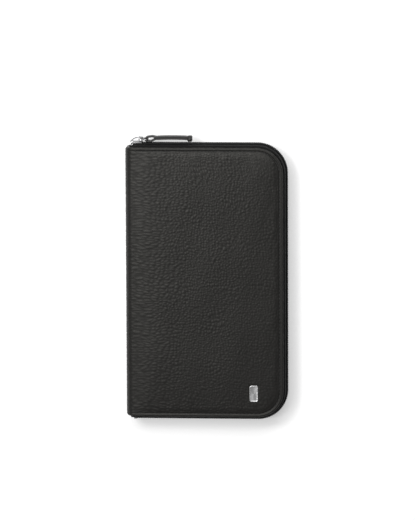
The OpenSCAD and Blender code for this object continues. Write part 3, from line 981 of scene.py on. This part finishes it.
def soft_sheet(name, low, high, body, node, seed, crown=0.0, rise=0.0, notch=0.0):
    """A leather panel over the box low to high, inside the cover body with its good side away from
    it. It swells by crown in the middle, leans by rise towards its mouth at +Y, and may have a thumb
    notch of this depth there."""
    facing = 1 if body == "rear_cover" else -1
    corner = 3.0
    thick = high[2] - low[2] - rise
    mid_x, half = (low[0] + high[0]) / 2, (high[0] - low[0]) / 2
    length = high[1] - low[1]
    v = panel_stations(length, max(4, round(length / 2.2)))
    u = panel_stations(2 * half, round(half / 1.1))
    rows, cols = len(v), len(u)
    v, u = np.meshgrid(v, u, indexing="ij")
    from_mouth = length - v
    # Round corners at the mouth, then the notch
    shrink = corner - np.sqrt(np.maximum(corner**2 - np.clip(corner - from_mouth, 0, corner) ** 2, 0))
    x = (u - half) * (1 - shrink / half)
    dip = notch * np.exp(-((x / (1.1 * notch)) ** 4)) if notch else np.zeros_like(x)
    y = low[1] + v * (1 - dip / length)
    # Rounded edge, crease along the stitches, swelling and unevenness
    d = np.maximum(np.minimum(np.minimum(half - shrink - np.abs(x), v), from_mouth), 0)
    edge = min(0.35, thick * 0.45)
    rounding = edge - np.sqrt(np.maximum(edge**2 - np.clip(edge - d, 0, edge) ** 2, 0))
    crease = 0.14 * np.exp(-(((d - STITCH_IN - 0.1) / 0.35) ** 2))
    up = np.clip(v / length, 0, 1)
    swell = crown * np.sin(math.pi * u / (2 * half)) ** 0.8 * np.sin(math.pi * up * 0.5) ** 0.8
    flat = np.stack([x.ravel(), y.ravel()], axis=1)
    uneven = (0.05 * ripple(flat, 23, seed) + 0.02 * ripple(flat, 7, seed + 1)).reshape(x.shape)
    uneven *= smoothstep(0, 4, d)
    lean = rise * v / length
    good = thick - rounding - crease + swell + uneven + lean
    back = lean + swell * 0.9
    base, sign = (low[2], 1) if facing > 0 else (high[2], -1)
    top = np.stack([mid_x + x, y, base + sign * good], axis=2)
    under = np.stack([mid_x + x, y, base + sign * back], axis=2)
    shell = Shell()
    shell.add(np.concatenate([top, under]), sheet_faces(rows, cols, flip=facing < 0))
    shell.piece(name, INNER_LEATHER, body, "smooth_leather", [node])
    stitch_panel(name + "_stitching", top, facing, body)


def stitch_panel(name, top, facing, body):
    """Stitches along the left side, the bottom and the right side of a panel."""
    inset = NEAR_EDGE.index(STITCH_IN)
    line = np.concatenate([top[::-1, inset][:-inset], top[inset, inset:-inset], top[inset:, -inset - 1]])
    run = np.concatenate([[0], np.cumsum(np.linalg.norm(np.diff(line, axis=0), axis=1))])
    s = np.arange(1.5, run[-1] - 1.5, 2.6)
    places, ahead = (np.column_stack([np.interp(t, run, c) for c in line.T]) for t in (s, s + 0.3))
    up = np.tile(facing * Z_AXIS, (len(s), 1))
    shell = Shell()
    thread_bits(shell, places + 0.04 * up, unit(ahead - places), up, 2.0, 0.17)
    shell.piece(name, INNER_THREAD, body, "smooth_leather")


# ---- Small zip ----


def coin_zip():
    """Tape and teeth of the small zip in the rear half."""
    low, high = box_mm("coin_zip_tape")
    mid_y = (low[1] + high[1]) / 2
    xs = np.arange(low[0], high[0] + 0.1, 1.6)
    across = np.linspace(0.25, high[1] - mid_y, 8)
    levels = np.repeat([high[2], low[2]], len(across))
    across = np.concatenate([across, across[::-1]])
    rows, cols = len(xs), len(across)
    tape = Shell()
    for side in (-1, 1):
        points = np.stack(np.broadcast_arrays(xs[:, None], mid_y + side * across, levels), axis=2)
        tape.add(points, tube_faces(rows, cols, flip=side > 0, flip_caps=True))
    values = {"along": np.tile(np.repeat(xs, cols), 2), "across": np.tile(across, 2 * rows)}
    tape.piece("coin_tape", TAPE, "rear_cover", "zip_tape", ["coin_zip_tape"], values)

    low, high = box_mm("coin_zip_teeth")
    pitch, steps = 1.1, 10
    xs = np.arange(low[0], high[0], pitch / steps)
    half = (high[1] - low[1]) / 4
    ones = np.ones(len(xs))
    teeth = Shell()
    for side, shift in ((-1, math.pi), (1, 0)):
        line = np.column_stack([xs, ones * (mid_y + side * (half - 0.03)), ones * (low[2] + high[2]) / 2])
        out = np.tile(Z_AXIS, (len(xs), 1))
        coil(teeth, line, out, side * Y_AXIS, steps, (0.32, half - 0.18), 0.21, shift)
    teeth.piece("coin_teeth", NYLON, "rear_cover", "nylon_teeth", ["coin_zip_teeth"])


# ---- Pen loop ----


def pen_loop():
    """A leather band round the pen, its two ends sewn down on the spine."""
    low, high = box_mm("pen_loop")
    thick = 0.8
    outer = (high[2] - low[2]) / 2
    centre_x = high[0] - outer
    radius = outer - thick / 2
    foot = low[0] + thick / 2
    angles = np.radians(np.linspace(145, -145, 40))
    ring = [(centre_x + radius * math.cos(a), MID_Z + radius * math.sin(a)) for a in angles]
    start = [(foot, MID_Z + 6.6), (foot, MID_Z + 5.2), (foot + 0.25, MID_Z + 4.0)]
    line = curve_through(start + ring[1:-1:3] + [(x, 2 * MID_Z - z) for x, z in start[::-1]], 5)
    path = np.column_stack([line[:, 0], np.full(len(line), (low[1] + high[1]) / 2), line[:, 1]])
    ups = np.cross(np.gradient(path, axis=0), Y_AXIS)
    shell = Shell()
    shell.add(*sweep(path, ups, round_section(high[1] - low[1], thick, 0.3, 3)))
    shell.piece("pen_band", INNER_LEATHER, "spine", "smooth_leather", ["pen_loop"])


# ---- Build ----

for build in (leather_skin, edge_stitching, lining_skin, zip_tape, zip_teeth):
    build("front")
    build("rear")
zip_slider()
pull_tab()
pull_tab_end()
badge()
coin_zip()
pen_loop()
spine_end_tabs()

for name, node, body, seed, shape in (
    ("zip_pocket_lower_panel", "zip_pocket_panel", "rear_cover", 41, {}),
    ("zip_pocket_upper_panel", "zip_pocket_top_panel", "rear_cover", 43, {}),
    ("passport_panel", "passport_pocket_panel", "rear_cover", 45, {"crown": 0.5, "notch": 9.0}),
    ("note_panel", "note_pocket_panel", "front_cover", 47, {}),
):
    soft_sheet(name, *box_mm(node), body, node, seed, **shape)
CARD_LEATHER = 0.8
for number, node in enumerate(CARD_SLOTS):
    low, high = box_mm(node)
    lean = high[2] - low[2] - CARD_LEATHER
    soft_sheet(f"card_strip_{number + 1}", low, high, "front_cover", node, 50 + 2 * number, rise=lean)

for node, material, bevel in (
    ("zip_slider_bail", METAL, 0.3),
    ("puller_ring", METAL, 0.35),
    ("zip_end_stop", METAL, 0.4),
    ("coin_slider_body", METAL, 0.2),
    ("coin_slider_bail", METAL, 0.25),
    ("coin_pull", METAL, 0.2),
    ("badge_backing", CAD_BADGE, 0.1),
):
    carry_over(node, material, bevel)
for part in ("rear", "front", "spine"):
    carry_over(f"{part}_board", BOARD)
for pocket in ("zip", "passport", "note"):
    carry_over(f"{pocket}_pocket_gusset", CAD_LINING)


# ---- Floor, lights and camera ----


def floor():
    """A large sheet of white paper, which glows slightly so that it stays white up to the wallet."""
    mesh = bpy.data.meshes.new("floor")
    half = 3.0
    corners = [(-half, -half, 0), (half, -half, 0), (half, half, 0), (-half, half, 0)]
    mesh.from_pydata(corners, [], [(0, 1, 2, 3)])
    n = Nodes("white_paper")
    glow = {"emission_color": (1, 1, 1, 1), "emission_strength": 0.36}
    n.shade((0.86, 0.86, 0.86, 1), 0.9, specular_ior_level=0.1, **glow)
    mesh.materials.append(n.material)
    placed("floor", mesh)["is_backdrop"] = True


def softbox(name, place, target, size, power):
    """A rectangular lamp that shines from place towards target."""
    data = bpy.data.lights.new(name, "AREA")
    data.shape = "RECTANGLE"
    data.size, data.size_y = size
    data.energy = power
    light = placed(name, data)
    light.location = place
    light.rotation_mode = "QUATERNION"
    light.rotation_quaternion = (Vector(target) - Vector(place)).to_track_quat("-Z", "Y")


def camera(target, tilt_x, tilt_y, roll, distance, view_height):
    """A long lens over the wallet, tilted towards the zip side and the top. Angles in degrees."""
    back = Vector((math.tan(math.radians(tilt_x)), math.tan(math.radians(tilt_y)), 1)).normalized()
    level = Vector((0, 1, 0)).cross(back).normalized()
    right = Matrix.Rotation(math.radians(-roll), 3, back) @ level
    up = back.cross(right)
    data = bpy.data.cameras.new("camera")
    data.sensor_width = 36
    data.lens = data.sensor_width * distance / view_height
    data.clip_end = 20
    turn = Matrix((right, up, back)).transposed().to_4x4()
    viewer = placed("camera", data)
    viewer.matrix_world = Matrix.Translation(Vector(target) + back * distance) @ turn
    bpy.context.scene.camera = viewer


floor()
softbox("key_from_top", (-0.07, 0.70, 0.92), (0, 0.02, 0.02), (1.3, 0.6), 8.3)
softbox("sheen_from_top", (-0.5, 0.38, 1.05), (-0.02, 0.03, 0.02), (0.35, 0.3), 4.6)
softbox("sheen_on_spine", (-0.42, 0.0, 1.0), (-0.06, 0, 0.02), (0.15, 0.4), 1.9)
world = bpy.data.worlds.new("studio")
world.use_nodes = True
world.node_tree.nodes["Background"].inputs["Color"].default_value = (1, 1, 1, 1)
world.node_tree.nodes["Background"].inputs["Strength"].default_value = 0.25
bpy.context.scene.world = world
bpy.context.scene.view_settings.view_transform = "Standard"
camera((0.0006, 0.01715, MID_Z * MM), 4.2, 8.3, 0.25, 4.0, 0.4236)

low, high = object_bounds()
